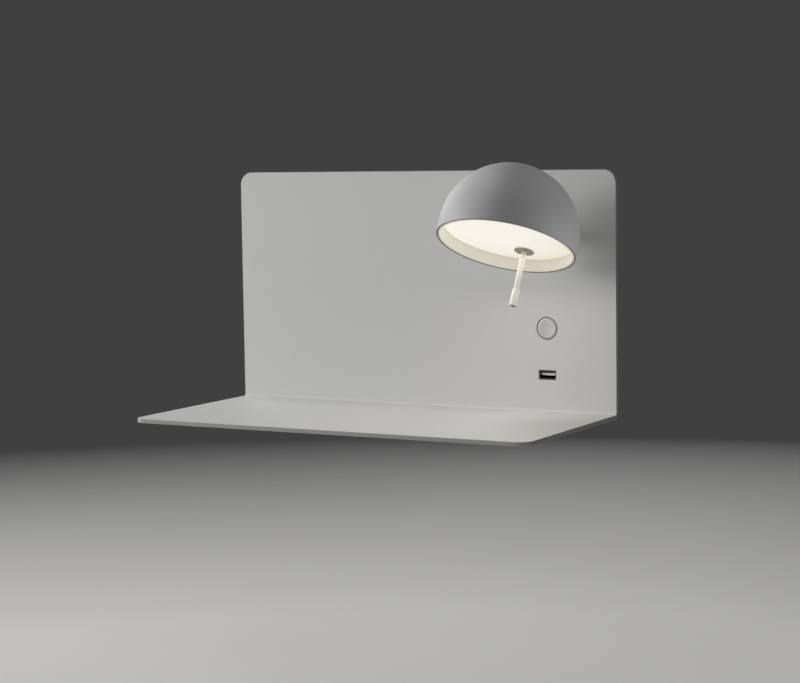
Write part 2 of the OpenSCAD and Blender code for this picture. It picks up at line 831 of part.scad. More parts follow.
module swivel_hub() color("silver") at_pivot() {
    hub_r = hub_d / 2;
    difference() {
        union() {
            rod_y(hub_r, fork_root, pivot_reach - hub_rear);
            intersection() {
                rod_y(hub_r, -ear_r, fork_root + over);
                union() {
                    translate([-hub_r, 0, -ear_r]) cube([hub_d, fork_root + over, 2 * ear_r]);
                    rod_x(ear_r, -hub_r, hub_r);
                }
            }
            rod_x(boss_r, -boss_x, boss_x);
        }
        translate([-fork_gap / 2, -ear_r - over, -hub_r]) cube([fork_gap, ear_r + over + fork_root, hub_d]);
        rod_y(nut_room_r, fork_root - over, pivot_reach - web_front);
        rod_y(spigot_d / 2 + run, fork_root, pivot_reach);
        rod_x(pin_r + run, -boss_x - over, boss_x + over);
    }
}

module tilt_washers() color("goldenrod") at_pivot() for (side = [0, 1]) mirror([side, 0, 0]) difference() {
    rod_x(boss_r, boss_x + seat / 2, boss_x + seat / 2 + tilt_washer_t);
    rod_x(pin_r + run, boss_x - over, lug_in + over);
}

// ---- Head: everything that tilts ----

module at_tilt_pin() in_head() translate([0, axis_off, pivot_z]) children();

module tilt_bracket() color("silver") at_tilt_pin() {
    low = base_z - pivot_z;
    out = lug_bend + lug_t;
    difference() {
        intersection() {
            // section across the two lugs
            facing(-base_back, base_front) {
                translate([-lug_out + out, low]) square([2 * lug_out - 2 * out, lug_t]);
                for (side = [0, 1]) mirror([side, 0]) {
                    translate([lug_in, low + out]) square([lug_t, lug_r - low]);
                    translate([lug_out - out, low + out]) intersection() {
                        difference() {
                            circle(out);
                            circle(lug_bend);
                        }
                        translate([0, -out]) square(out);
                    }
                }
            }
            // outline seen from the side
            across(2 * lug_out + over) {
                circle(lug_r);
                translate([-lug_r, low]) square([2 * lug_r, -low]);
                translate([-base_back, low]) square([base_back + base_front, out]);
            }
        }
        rod_x(pin_r + run, -lug_out - over, lug_out + over);
        translate([0, 0, low - over]) cylinder(r = m3_r + hole_play, h = lug_t + 2 * over);
        for (side = [-1, 1]) translate([side * bracket_screw_x, -bracket_screw_y, low - over])
            cylinder(r = m25_r + hole_play, h = lug_t + 2 * over);
        translate([0, -lead_hole_y, low - over]) cylinder(r = lead_hole_r, h = lug_t + 2 * over);
    }
}

module bracket_screws() color("silver") at_tilt_pin() for (side = [-1, 1])
    translate([side * bracket_screw_x, -bracket_screw_y, base_z - pivot_z + lug_t])
        pan_screw(m25_r, lug_t + heat_t, m25_head_r, m25_head_h);

module tilt_pin() color("silver") at_tilt_pin() {
    rod_x(pin_r, -lug_out - pin_nut_h - past, lug_out);
    difference() {
        rod_x(pin_head_r, lug_out, lug_out + pin_head_h);
        translate([lug_out + pin_head_h - pin_socket_d, 0, 0]) rotate([0, 90, 0])
            cylinder(r = pin_r * socket_part, h = pin_head_h, $fn = 6);
    }
}

module tilt_nut() color("silver") at_tilt_pin() translate([-lug_out - pin_nut_h, 0, 0]) rotate([0, 90, 0])
    hex_nut(pin_nut_af, pin_nut_h, pin_r);

module at_rim_screws() for (turn = rim_screw_turns) rotate([0, 0, turn])
    translate([rim_screw_r, 0, 0]) children();

module heat_plate() color("gainsboro") in_head() difference() {
    translate([0, 0, heat_z]) cylinder(r = heat_r, h = heat_t);
    translate([0, axis_off, heat_z - over]) {
        cylinder(r = m3_r + hole_play, h = heat_t + 2 * over);
        for (side = [-1, 1]) translate([side * bracket_screw_x, -bracket_screw_y, 0])
            cylinder(r = m25_r + thread_play, h = heat_t + 2 * over);
        translate([0, -lead_hole_y, 0]) cylinder(r = lead_hole_r, h = heat_t + 2 * over);
    }
    at_rim_screws() translate([0, 0, heat_z - over]) cylinder(r = m3_r + hole_play, h = heat_t + 2 * over);
}

module led_board() color("white") in_head() difference() {
    translate([0, 0, led_board_z]) cylinder(r = led_board_r, h = led_board_t);
    translate([0, axis_off, led_board_z - over]) {
        cylinder(r = cap_hole_d / 2, h = led_board_t + 2 * over);
        translate([0, -lead_hole_y, 0]) cylinder(r = lead_hole_r, h = led_board_t + 2 * over);
    }
}

module led_chips() color("khaki") in_head() {
    inner_count = floor(led_count / 2);
    for (ring = [[led_ring_r, led_count], [led_ring_r * inner_ring, inner_count]], i = [0 : ring[1] - 1])
        rotate([0, 0, 360 * (i + 0.5) / ring[1]])
            translate([ring[0], 0, led_board_z - chip_t / 2]) cube([chip, chip, chip_t], center = true);
}

module diffuser_frame() color("antiquewhite") in_head() rotate_extrude() {
    outer = shade_in_r - frame_play;
    high = sqrt(pow(shade_in_r, 2) - pow(heat_z - skirt_h, 2)) - frame_play;
    polygon([[diffuser_r, frame_lip_z], [outer, frame_lip_z], [outer, skirt_h], [high, heat_z],
             [diffuser_r + diffuser_seat + seat, heat_z], [diffuser_r + diffuser_seat + seat, face_z],
             [diffuser_r, face_z]]);
}

module diffuser() color("ivory") in_head() difference() {
    translate([0, 0, face_z]) cylinder(r = diffuser_r + diffuser_seat, h = diffuser_t);
    translate([0, axis_off, face_z - over]) cylinder(r = diffuser_hole_r, h = diffuser_t + 2 * over);
}

// Hemisphere on a short straight skirt, as a section
module dome_section(r) {
    square([r, skirt_h]);
    translate([0, skirt_h]) intersection() {
        circle(r);
        square(r);
    }
}

module shade() color("whitesmoke") in_head() {
    difference() {
        rotate_extrude() difference() {
            dome_section(shade_r);
            dome_section(shade_in_r);
            translate([0, -over]) square([shade_in_r, over + skirt_h]);
        }
        // slot through which the stem passes over the whole tilt
        translate([0, axis_off, pivot_z]) {
            for (tilt = [tilt_min, tilt_max]) rotate([tilt, 0, 0]) rod_y(slot_half, 0, shade_r);
            rotate([tilt_min, 0, 0]) rotate([90, 0, 90]) translate([0, 0, -slot_half])
                rotate_extrude(angle = tilt_max - tilt_min) square([shade_r, 2 * slot_half]);
        }
    }
    // three lugs inside, on which the heat plate is screwed
    difference() {
        intersection() {
            at_rim_screws() translate([-rim_lug_in, -rim_lug_w / 2, base_z])
                cube([shade_r - rim_screw_r + rim_lug_in, rim_lug_w, rim_lug_t]);
            translate([0, 0, skirt_h]) sphere(r = shade_in_r + shade_t / 2);
        }
        at_rim_screws() translate([0, 0, base_z - over])
            cylinder(r = m3_r + thread_play, h = rim_lug_t + 2 * over);
    }
}

module shade_screws() color("silver") in_head() at_rim_screws() translate([0, 0, heat_z])
    rotate([180, 0, 0]) pan_screw(m3_r, heat_t + rim_screw_past, m3_head_r, m3_head_h);

// ---- Handle ----

module centre_cap() color("darkgray") in_head() translate([0, axis_off, face_z]) rotate_extrude() {
    top = diffuser_t + cap_past;
    polygon([[cap_hole_d / 2, -cap_t], [cap_d / 2 - cap_edge, -cap_t], [cap_d / 2, -cap_t + cap_edge],
             [cap_d / 2, 0], [cap_hub_r, 0], [cap_hub_r, top], [cap_hole_d / 2, top]]);
}

module handle_rod() color("ivory") in_head() translate([0, axis_off, 0]) {
    low = face_z - handle_len + grip_len - rod_into_grip;
    translate([0, 0, low]) cylinder(d = rod_d, h = heat_z - low);
    translate([0, 0, heat_z]) cylinder(r = m3_r, h = heat_t + lug_t + rod_nut_h + past);
}

module handle_grip() color("ivory") in_head() translate([0, axis_off, face_z - handle_len]) rotate_extrude() {
    out = grip_d / 2;
    hole = rod_d / 2 + thread_play;
    floor_z = grip_len - rod_into_grip - seat;
    polygon([[0, 0], [out - grip_edge, 0], [out, grip_edge], [out, grip_len - grip_edge],
             [out - grip_edge, grip_len], [hole, grip_len], [hole, floor_z], [0, floor_z]]);
}

module rod_nut() color("silver") in_head() translate([0, axis_off, base_z + lug_t])
    hex_nut(rod_nut_af, rod_nut_h, m3_r);

// ---- Leads ----

module lead(route) swept_tube(eased(eased(route)), lead_r);

module lamp_lead() color("white") {
    port_z = driver_at[1] + driver_port_z;
    thread_y = plate_front + thread_end;
    lead([
        [driver_end + lead_start, driver_mid_y, port_z],
        [driver_end + lead_run, driver_mid_y, port_z],
        [driver_end + lead_run + lead_sweep, lead_high_y, stem_z],
        [column_x - 2 * lead_run, lead_high_y + lead_dip, stem_z],
        [column_x, thread_y + lead_dip, stem_z],
        [column_x, thread_y - lead_dip, stem_z],
        [column_x, plate_front - lead_dip, stem_z],
        [column_x, plate_front - pivot_reach + fork_root + over, stem_z],
    ]);
}

module switch_leads() color("saddlebrown") {
    tab_y = plate_front + switch_end + tab_len - over;
    tab_x = column_x - tab_w / 2 - lead_start;
    pole_x = terminal_at[0] + terminal_pitch;
    port_z = driver_at[1] - driver_port_z;
    lead([
        [pole_x, box_floor + wire_y, terminal_at[1] + terminal_h / 2 - terminal_slope_h],
        [pole_x, box_floor + wire_y, button_z],
        [column_x - 2 * lead_sweep, lead_low_y, button_z - tab_at],
        [column_x - lead_run, tab_y, button_z - tab_at],
        [tab_x, tab_y, button_z - tab_at],
    ]);
    lead([
        [driver_end + lead_start, driver_mid_y, port_z],
        [driver_end + lead_run, driver_mid_y, port_z],
        [column_x - 3 * lead_run, lead_low_y, port_z],
        [column_x - lead_sweep, tab_y, button_z + 2 * tab_at],
        [tab_x, tab_y, button_z + tab_at],
    ]);
}

module usb_leads() color("royalblue") {
    joint_y = board_front - lead_r - lead_start;
    lead([
        [terminal_at[0], box_floor + wire_y, terminal_at[1] - terminal_h / 2 + terminal_slope_h],
        [terminal_at[0], box_floor + wire_y, usb_z],
        [board_left - lead_sweep, lead_low_y, usb_z],
        [board_left - lead_sweep / 2, joint_y, usb_z],
        [board_left + spacer_in_x, joint_y, usb_z],
    ]);
}

module head_lead() color("white") at_tilt_pin() lead([
    [0, 0, lug_r - lead_r],
    [0, -lead_dip, lug_r - lead_r],
    [0, -lead_hole_y, 0],
    [0, -lead_hole_y, led_board_z - pivot_z + lead_start],
]);

shelf_plate();
back_box();
box_nuts();
wall_bracket();
lock_screws();
cable_grommet();
terminal_block();
terminal_screws();
earth_terminal();
led_driver();
driver_screws();
usb_board();
supply_parts();
board_spacers();
board_screws();
usb_shell();
usb_tongue();
usb_contacts();
button_cap();
button_guide();
button_spring();
switch_plunger();
switch_body();
stem_collar();
stem_tube();
stem_washer();
stem_nut();
switch_leads();
usb_leads();
lamp_lead();
swivel_washer();
swivel_nut();
swivel_hub();
tilt_washers();
tilt_bracket();
bracket_screws();
tilt_pin();
tilt_nut();
heat_plate();
led_board();
led_chips();
head_lead();
diffuser_frame();
diffuser();
shade();
shade_screws();
centre_cap();
handle_rod();
handle_grip();
rod_nut();
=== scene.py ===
from math import cos, pi, radians, sin
import bmesh
import bpy
from mathutils import Euler, Matrix, Vector


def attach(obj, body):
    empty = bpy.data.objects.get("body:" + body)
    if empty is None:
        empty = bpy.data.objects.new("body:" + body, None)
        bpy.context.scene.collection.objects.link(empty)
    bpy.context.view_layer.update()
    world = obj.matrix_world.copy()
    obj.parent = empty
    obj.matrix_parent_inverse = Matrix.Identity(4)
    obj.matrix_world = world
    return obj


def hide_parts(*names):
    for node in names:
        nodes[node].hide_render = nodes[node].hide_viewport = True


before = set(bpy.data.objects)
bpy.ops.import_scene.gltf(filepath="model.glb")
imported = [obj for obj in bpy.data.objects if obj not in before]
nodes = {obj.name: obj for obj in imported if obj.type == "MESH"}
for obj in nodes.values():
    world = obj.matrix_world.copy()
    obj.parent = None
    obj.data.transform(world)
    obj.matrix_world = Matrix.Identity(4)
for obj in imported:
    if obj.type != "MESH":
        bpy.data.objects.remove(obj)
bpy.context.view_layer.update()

# ---- Viewpoint, light and floor ----
# The lamp is seen from the right and a little above, through a long lens. Large soft panels stand
# at its left and over it, weaker ones behind and at its right, and a pale round floor lies below.
mm = 0.001
scene = bpy.context.scene
scene.view_settings.view_transform = "Standard"
scene.view_settings.look = "None"

view_turn, view_dip, view_roll = 0.502296, 0.0934486, -0.0143622
ahead = Vector((-sin(view_turn) * cos(view_dip), cos(view_turn) * cos(view_dip), -sin(view_dip)))
aside = Vector((cos(view_turn), sin(view_turn), 0))
above = aside.cross(ahead)
right_hand = aside * cos(view_roll) + above * sin(view_roll)
overhead = above * cos(view_roll) - aside * sin(view_roll)
camera = bpy.data.objects.new("camera", bpy.data.cameras.new("camera"))
camera.data.lens = 91.81
camera.data.sensor_width = 36
camera.data.clip_start = 0.05
camera.matrix_world = Matrix((right_hand, overhead, -ahead)).transposed().to_4x4()
camera.location = (0.72840, -1.38741, 0.11119)
scene.collection.objects.link(camera)
scene.camera = camera

room = bpy.data.worlds.new("room")
room.use_nodes = True
room_light = room.node_tree.nodes["Background"].inputs
room_light["Color"].default_value = (0.98, 0.99, 1.0, 1)
room_light["Strength"].default_value = 0.052
scene.world = room


def soft_panel(name, place, aim, width, height, power, tint, shape="RECTANGLE"):
    light = bpy.data.lights.new(name, "AREA")
    light.shape = shape
    light.size = width
    light.size_y = height
    light.energy = power
    light.color = tint
    panel = bpy.data.objects.new(name, light)
    panel.location = place
    panel.rotation_euler = (Vector(aim) - Vector(place)).to_track_quat("-Z", "Y").to_euler()
    panel.visible_camera = False
    scene.collection.objects.link(panel)
    return panel


lamp_middle = (0.02, -0.06, 0.0)
wall_middle = (0.02, 0.0, 0.0)
even_white, rosy_white, creamy_white = (1.0, 1.0, 1.0), (1.0, 0.995, 0.995), (1.0, 0.995, 0.99)
soft_panel("left_panel", (-2.94, -1.14, 0.56), lamp_middle, 1.2, 1.2, 77, rosy_white)
soft_panel("front_panel", (-2.39, -2.09, 0.56), lamp_middle, 1.2, 1.2, 16, rosy_white)
soft_panel("high_left_panel", (-1.2, -0.06, 2.95), lamp_middle, 1.2, 1.2, 26, creamy_white)
soft_panel("high_right_panel", (1.11, 0.04, 3.0), lamp_middle, 1.2, 1.2, 7, creamy_white)
soft_panel("right_panel", (1.59, 0.08, -0.28), lamp_middle, 0.6, 0.27, 9, even_white)
soft_panel("rear_panel", (-2.58, 1.44, 1.09), lamp_middle, 1.2, 1.2, 16, even_white)
soft_panel("wall_panel", (-0.8, 3.0, -0.1), wall_middle, 1.6, 0.6, 26, even_white)


class Flow:
    """A number, colour or direction on its way through the nodes of a finish."""

    def __init__(self, finish, socket):
        self.finish = finish
        self.socket = socket

    def maths(self, operation, first, second):
        return self.finish.node("ShaderNodeMath", {"operation": operation}, [first, second])

    def __add__(self, other):
        return self.maths("ADD", self, other)

    def __sub__(self, other):
        return self.maths("SUBTRACT", self, other)

    def __rsub__(self, other):
        return self.maths("SUBTRACT", other, self)

    def __mul__(self, other):
        return self.maths("MULTIPLY", self, other)

    def __truediv__(self, other):
        return self.maths("DIVIDE", self, other)

    def __rtruediv__(self, other):
        return self.maths("DIVIDE", other, self)

    def __pow__(self, other):
        return self.maths("POWER", self, other)

    def __rpow__(self, other):
        return self.maths("POWER", other, self)

    __radd__ = __add__
    __rmul__ = __mul__


class Finish:
    """One surface finish: its shader, and the nodes that vary it over the surface."""

    def __init__(self, name, even):
        self.material = bpy.data.materials.new(name)
        self.material.use_nodes = True
        self.tree = self.material.node_tree
        self.tree.nodes.clear()
        self.shader = self.tree.nodes.new("ShaderNodeBsdfPrincipled")
        self.end = self.tree.nodes.new("ShaderNodeOutputMaterial")
        self.tree.links.new(self.shader.outputs[0], self.end.inputs["Surface"])
        self.set(even)

    def feed(self, socket, value):
        if isinstance(value, Flow):
            self.tree.links.new(value.socket, socket)
        else:
            socket.default_value = value

    def set(self, values):
        for name, value in values.items():
            self.feed(self.shader.inputs[name], value)

    def node(self, kind, settings, values, out=0):
        made = self.tree.nodes.new(kind)
        for name, value in settings.items():
            if name == "stops":
                while len(made.color_ramp.elements) < len(value):
                    made.color_ramp.elements.new(0.5)
                for stop, (at, colour) in zip(made.color_ramp.elements, value):
                    stop.position = at
                    stop.color = colour
            else:
                setattr(made, name, value)
        for name, value in values.items() if isinstance(values, dict) else enumerate(values):
            self.feed(made.inputs[name], value)
        return Flow(self, made.outputs[out])

    def place(self, centre=(0, 0, 0), turn=(0, 0, 0), stretch=(1, 1, 1)):
        """Where a point lies on the piece, in metres, centred, turned and stretched as wanted."""
        spot = self.node("ShaderNodeTexCoord", {}, {}, "Object")
        return self.node("ShaderNodeMapping", {"vector_type": "TEXTURE"}, {
            "Vector": spot, "Location": centre, "Rotation": turn, "Scale": stretch})

    def grain(self, where, size, detail=2.0):
        """Soft random spots about as large as size, in metres, from 0 to 1."""
        return self.node("ShaderNodeTexNoise", {}, {"Vector": where, "Scale": 1 / size, "Detail": detail})

    def part(self, where, axis):
        return self.node("ShaderNodeSeparateXYZ", {}, [where], axis)

    def ramp(self, value, *stops):
        return self.node("ShaderNodeValToRGB", {"stops": stops}, [value])

    def step(self, value, start, stop):
        """0 below start, 1 above stop and a straight rise between them."""
        return self.ramp(value, (start, (0, 0, 0, 1)), (stop, (1, 1, 1, 1)))

    def mix(self, share, first, second):
        return self.node("ShaderNodeMix", {"data_type": "RGBA"}, {0: share, 6: first, 7: second}, 2)

    def relief(self, height, depth):
        """The normal of a surface whose height, from 0 to 1, stands for depth in metres."""
        return self.node("ShaderNodeBump", {}, {"Height": height, "Distance": depth})


def tone(red, green, blue):
    """A paint tone, given as it shows on a screen, as a linear colour."""
    return tuple((v / 255 / 12.92 if v <= 10 else ((v / 255 + 0.055) / 1.055) ** 2.4)
                 for v in (red, green, blue)) + (1,)


def clear():
    if bpy.context.object and bpy.context.object.mode != "OBJECT":
        bpy.ops.object.mode_set(mode="OBJECT")
    bpy.ops.object.select_all(action="DESELECT")


def named(name):
    piece = bpy.context.object
    piece.name = name
    piece.data.name = name
    return piece


floor_radius, floor_middle = 2.4, (0, -0.1, -0.42)
clear()
bpy.ops.mesh.primitive_circle_add(vertices=96, radius=floor_radius, fill_type="NGON", location=floor_middle)
floor = named("floor")
bpy.ops.object.transform_apply(location=True, rotation=True, scale=True)
floor_paint = Finish("floor_paint", {"Roughness": 0.85, "Specular IOR Level": 0.2})
spot = floor_paint.place(floor_middle)
cloud = floor_paint.grain(spot, 0.25, 4)
floor_paint.set({"Base Color": floor_paint.mix(cloud, tone(208, 207, 204), tone(216, 215, 213))})
# The floor fades out towards its rim, and seen from below it isn't there.
from_middle = (floor_paint.part(spot, "X") ** 2 + floor_paint.part(spot, "Y") ** 2) ** 0.5
fade = floor_paint.step(from_middle / floor_radius, 0.35, 0.95)
from_below = floor_paint.node("ShaderNodeNewGeometry", {}, {}, "Backfacing")
hidden = floor_paint.node("ShaderNodeMath", {"operation": "MAXIMUM"}, [fade, from_below])
paint = Flow(floor_paint, floor_paint.shader.outputs[0])
nothing = floor_paint.node("ShaderNodeBsdfTransparent", {}, {})
floor_paint.feed(floor_paint.end.inputs["Surface"],
                 floor_paint.node("ShaderNodeMixShader", {}, [hidden, paint, nothing]))
floor.data.materials.append(floor_paint.material)


# ---- Shelf plate ----
# One 3 mm steel sheet: cut with its holes, folded once into back plate and shelf, studs welded on
# behind, and the whole powder coated in a fine matt light grey. The cut edges are slightly rounded.
sheet_w, sheet_t = 320 * mm, 3 * mm
front_y, shelf_edge_y = -28 * mm, -180 * mm
sheet_top, shelf_z = 95.5 * mm, -82 * mm
bend_r, corner_r, edge_r = 2 * mm, 10 * mm, 0.45 * mm
column = 105 * mm
stem_z, button_z, socket_z = 52 * mm, -20.5 * mm, -55 * mm
stem_hole_r, button_hole_r = 5.15 * mm, 8.4 * mm
socket_w, socket_h, socket_corner = 14 * mm, 7.1 * mm, 0.5 * mm
through, hair = 12 * mm, 0.01 * mm
smooth_below = radians(35)


def scaled(colour, share):
    """A colour made darker or lighter, as a share of what it was."""
    return tuple(min(1, c * share) for c in colour[:3]) + (1,)


def powder_coat(name, colour, rough=0.55, peel=1.0):
    """A cured powder coat: faintly clouded colour, fine specks, and a shallow orange peel."""
    coat = Finish(name, {"Specular IOR Level": 0.35, "Coat Roughness": 0.5})
    spot = coat.place()
    cloud = coat.grain(spot, 70 * mm, 3)
    speck = coat.grain(spot, 0.55 * mm, 1)
    orange_peel = coat.grain(spot, 1.6 * mm, 2)
    coat.set({
        "Base Color": coat.mix(cloud * 0.6 + speck * 0.4, scaled(colour, 0.955), scaled(colour, 1.03)),
        "Roughness": rough + (speck - 0.5) * 0.12 + (cloud - 0.5) * 0.06,
        "Normal": coat.relief(orange_peel * 0.7 + speck * 0.3, 0.035 * mm * peel),
    })
    return coat.material


def pick(piece, kind, test):
    """In edit mode, selects each of the piece's verts, edges or faces whose middle passes the test."""
    bpy.context.tool_settings.mesh_select_mode = [kind == k for k in ("verts", "edges", "faces")]
    bm = bmesh.from_edit_mesh(piece.data)
    for group in (bm.verts, bm.edges, bm.faces):
        for item in group:
            item.select = False
    for item in getattr(bm, kind):
        corners = [item] if kind == "verts" else item.verts
        if test(sum((v.co for v in corners), Vector()) / len(corners)):
            item.select_set(True)
    bm.select_flush_mode()
    bmesh.update_edit_mesh(piece.data)


def near(a, b):
    return abs(a - b) < hair


def choose(piece):
    clear()
    piece.select_set(True)
    bpy.context.view_layer.objects.active = piece


def edit(piece):
    choose(piece)
    bpy.ops.object.mode_set(mode="EDIT")


def settle(piece, matrix=Matrix.Identity(4)):
    """Turns and moves a piece, and leaves its object at the origin."""
    choose(piece)
    piece.matrix_world = matrix @ piece.matrix_world
    bpy.ops.object.transform_apply(location=True, rotation=True, scale=True)


def work(piece, kind, **settings):
    """Adds a modifier to a piece and applies it."""
    choose(piece)
    change = piece.modifiers.new(kind, kind)
    for name, value in settings.items():
        setattr(change, name, value)
    bpy.ops.object.modifier_apply(modifier=change.name)


def cut(piece, *tools):
    for tool in tools:
        work(piece, "BOOLEAN", operation="DIFFERENCE", solver="EXACT", object=tool)
        bpy.data.objects.remove(tool)


def round_edges(piece, width, segments=2, above_angle=40):
    """Rounds every edge sharper than the angle, and keeps flat faces flat in shading."""
    choose(piece)
    bpy.ops.object.shade_smooth()
    work(piece, "BEVEL", width=width, segments=segments, limit_method="ANGLE",
         angle_limit=radians(above_angle), harden_normals=True, use_clamp_overlap=True)


def fit(piece, material, body, slot, *stands_for):
    piece.data.materials.clear()
    piece.data.materials.append(material)
    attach(piece, body)
    if stands_for:
        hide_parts(*stands_for)


def finish_part(piece, material, test):
    """Gives the faces whose middle passes the test a finish of their own."""
    piece.data.materials.append(material)
    edit(piece)
    pick(piece, "faces", test)
    piece.active_material_index = len(piece.data.materials) - 1
    bpy.ops.object.material_slot_assign()
    bpy.ops.object.mode_set(mode="OBJECT")


clear()
bpy.ops.mesh.primitive_plane_add(size=1, rotation=(pi / 2, 0, 0),
                                 location=(0, front_y, (sheet_top + shelf_z) / 2))
shelf_sheet = named("shelf_sheet")
shelf_sheet.scale = (sheet_w, sheet_top - shelf_z, 1)
settle(shelf_sheet)
edit(shelf_sheet)
pick(shelf_sheet, "edges", lambda p: near(p.z, shelf_z))
bpy.ops.mesh.extrude_region_move(TRANSFORM_OT_translate={"value": (0, shelf_edge_y - front_y, 0)})
pick(shelf_sheet, "edges", lambda p: near(p.z, shelf_z) and near(p.y, front_y))
bpy.ops.mesh.bevel(offset=bend_r, segments=10, profile=0.5)
pick(shelf_sheet, "verts", lambda p: near(p.z, sheet_top) or near(p.y, shelf_edge_y))
bpy.ops.mesh.bevel(offset=corner_r, segments=14, profile=0.5, affect="VERTICES")
bpy.ops.object.mode_set(mode="OBJECT")
work(shelf_sheet, "SOLIDIFY", thickness=sheet_t, offset=-1, use_even_offset=True)

holes = []
for z, radius in ((stem_z, stem_hole_r), (button_z, button_hole_r)):
    clear()
    bpy.ops.mesh.primitive_cylinder_add(vertices=96, radius=radius, depth=through,
                                        location=(column, front_y, z), rotation=(pi / 2, 0, 0))
    holes.append(named("hole"))
clear()
bpy.ops.mesh.primitive_cube_add(size=1, location=(column, front_y, socket_z),
                                scale=(socket_w, through, socket_h))
holes.append(named("socket_hole"))
settle(holes[-1])
work(holes[-1], "BEVEL", width=socket_corner, segments=4, limit_method="ANGLE")
cut(shelf_sheet, *holes)
round_edges(shelf_sheet, edge_r, 3)
fit(shelf_sheet, powder_coat("plate_coat", tone(216, 216, 215)), "base", "plate_coat", "shelf_plate")


edge_zone = corner_r + 1 * mm


def on_cut_edge(p):
    outer = (abs(p.x) > sheet_w / 2 - edge_zone or p.z > sheet_top - edge_zone
             or p.y < shelf_edge_y + edge_zone)
    on_plate = near(p.y, front_y) or near(p.y, front_y + sheet_t)
    on_shelf = near(p.z, shelf_z) or near(p.z, shelf_z - sheet_t)
    return outer and not on_plate and not on_shelf


# The cut edges are darker and rougher than the faces. Towards the right they darken much further: painted
# shade, where those edges face away from the lights.
edge_coat_and_shade = Finish("edge_coat_and_shade", {"Specular IOR Level": 0.3})
spot = edge_coat_and_shade.place()
corner_x = sheet_w / 2 - corner_r
# Mask of the painted shade that darkens the right-hand edges.
right_edge_shade = edge_coat_and_shade.step((edge_coat_and_shade.part(spot, "X") - corner_x) * (1 / corner_r), 0.4, 1)
nibs = edge_coat_and_shade.grain(spot, 0.8 * mm, 2)
edge_tone = edge_coat_and_shade.mix(nibs, tone(150, 151, 147), tone(172, 173, 169))
edge_coat_and_shade.set({
    "Base Color": edge_coat_and_shade.mix(right_edge_shade, edge_tone, edge_coat_and_shade.mix(nibs, tone(82, 83, 81), tone(98, 99, 97))),
    "Roughness": 0.58 + nibs * 0.1,
    "Normal": edge_coat_and_shade.relief(nibs, 0.05 * mm),
})
finish_part(shelf_sheet, edge_coat_and_shade.material, on_cut_edge)

# The four studs: bright steel, M4, resistance welded to the plate's back and masked from the paint.
stud_r, stud_long, stud_end_y = 2 * mm, 6.5 * mm, -19 * mm
stud_x, stud_low_z, stud_wide, stud_high = -120 * mm, -34 * mm, 240 * mm, 68 * mm
zinc = Finish("zinc", {"Metallic": 1.0})
spot = zinc.place()
wipe, pits = zinc.grain(spot, 2.5 * mm, 3), zinc.grain(spot, 0.3 * mm, 2)
zinc.set({
    "Base Color": zinc.mix(wipe, tone(176, 180, 186), tone(206, 208, 210)),
    "Roughness": 0.3 + wipe * 0.15 + pits * 0.08,
    "Normal": zinc.relief(pits, 0.01 * mm),
})
clear()
bpy.ops.mesh.primitive_cylinder_add(vertices=32, radius=stud_r, depth=stud_long, rotation=(pi / 2, 0, 0),
                                    location=(stud_x, stud_end_y - stud_long / 2, stud_low_z))
weld_studs = named("weld_studs")
settle(weld_studs)
edit(weld_studs)
pick(weld_studs, "edges", lambda p: near(p.y, stud_end_y))
bpy.ops.mesh.bevel(offset=0.4 * mm, segments=2)
bpy.ops.mesh.select_all(action="SELECT")
for step in ((stud_wide, 0, 0), (0, 0, stud_high), (-stud_wide, 0, 0)):
    bpy.ops.mesh.duplicate_move(TRANSFORM_OT_translate={"value": step})
bpy.ops.object.mode_set(mode="OBJECT")
bpy.ops.object.shade_smooth_by_angle(angle=smooth_below)
fit(weld_studs, zinc.material, "base", "zinc")

# ---- Back box and wall bracket ----
# A shallow steel tray, folded and coated like the plate, which the four studs and nuts hold. It
# hooks over a galvanised channel on the wall, and two screws from below lock it there.


def dress(material, *names):
    """Gives CAD nodes, which keep their own shape, a finish."""
    for name in names:
        for slot in nodes[name].material_slots:
            slot.material = material


def softened(node, name, width, angle=40, segments=2):
    """A copy of a CAD node with its edges rounded, to stand in its place."""
    piece = nodes[node].copy()
    piece.data = nodes[node].data.copy()
    for key in list(piece.keys()):
        del piece[key]
    piece.parent = None
    scene.collection.objects.link(piece)
    piece.matrix_world = Matrix.Identity(4)
    piece.name = piece.data.name = name
    edit(piece)
    bpy.ops.mesh.select_all(action="SELECT")
    bpy.ops.mesh.customdata_custom_splitnormals_clear()
    bpy.ops.mesh.remove_doubles(threshold=0.002 * mm)
    bpy.ops.mesh.dissolve_limited(angle_limit=radians(0.5))
    bpy.ops.object.mode_set(mode="OBJECT")
    round_edges(piece, width, segments, angle)
    return piece


box_coat = powder_coat("box_coat", tone(206, 206, 205), 0.6)
back_tray = softened("back_box", "back_tray", 0.35 * mm)
fit(back_tray, box_coat, "base", "box_steel", "back_box")

galvanised = Finish("galvanised", {"Metallic": 0.9})
spot = galvanised.place()
flake_colour = galvanised.node("ShaderNodeTexVoronoi", {"feature": "F1"}, {
    "Vector": spot, "Scale": 1 / (9 * mm)}, "Color")
flake = galvanised.part(flake_colour, 0)
dull = galvanised.grain(spot, 1.2 * mm, 3)
galvanised.set({
    "Base Color": galvanised.mix(flake * 0.7 + dull * 0.3, tone(160, 163, 166), tone(192, 195, 197)),
    "Roughness": 0.34 + flake * 0.2 + dull * 0.1,
    "Normal": galvanised.relief(dull, 0.015 * mm),
})
channel = softened("wall_bracket", "wall_channel", 0.25 * mm)
fit(channel, galvanised.material, "base", "bracket_steel", "wall_bracket")
dress(zinc.material, "box_nuts", "lock_screws", "driver_screws", "board_screws", "terminal_screws")


